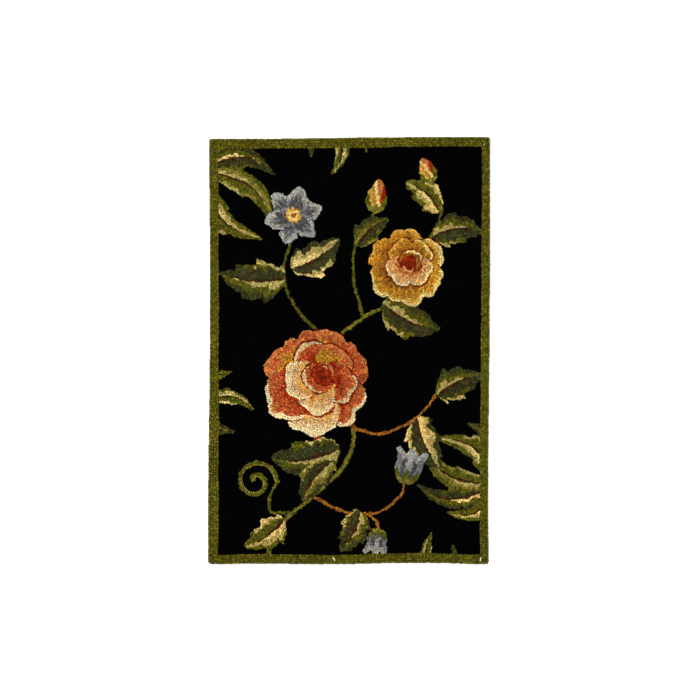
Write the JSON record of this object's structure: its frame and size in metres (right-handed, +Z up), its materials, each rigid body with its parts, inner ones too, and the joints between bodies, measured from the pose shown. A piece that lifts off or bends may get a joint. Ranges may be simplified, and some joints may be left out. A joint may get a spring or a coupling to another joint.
{
  "type": "pile rug",
  "caption": "Small oblong hooked rug of looped wool pile, with a black field of flowers and leaves and a narrow olive border.",
  "frame": {"origin": "under the middle of the rug's bounding box, on the floor", "axes": "+Z up out of the pile, +Y along the rug's length towards the picture's top, +X across it towards the picture's right"},
  "size_m": [0.508, 0.7708, 0.0095],
  "materials": {
    "black_wool": "matt looped wool, the field",
    "olive_wool": "matt looped wool, the border",
    "coral_wool": "matt looped wool, the large bloom, in coral to cream",
    "amber_wool": "matt looped wool, the second bloom and the buds, in brown to gold",
    "blue_wool": "matt looped wool, the small flowers, in slate to pale grey-blue",
    "leaf_wool": "matt looped wool, leaves and stems, in moss to pale sage",
    "canvas": "plain woven foundation, seen from below only"
  },
  "bodies": {
    "root": {"rug": "black_wool"}
  },
  "joints": []
}
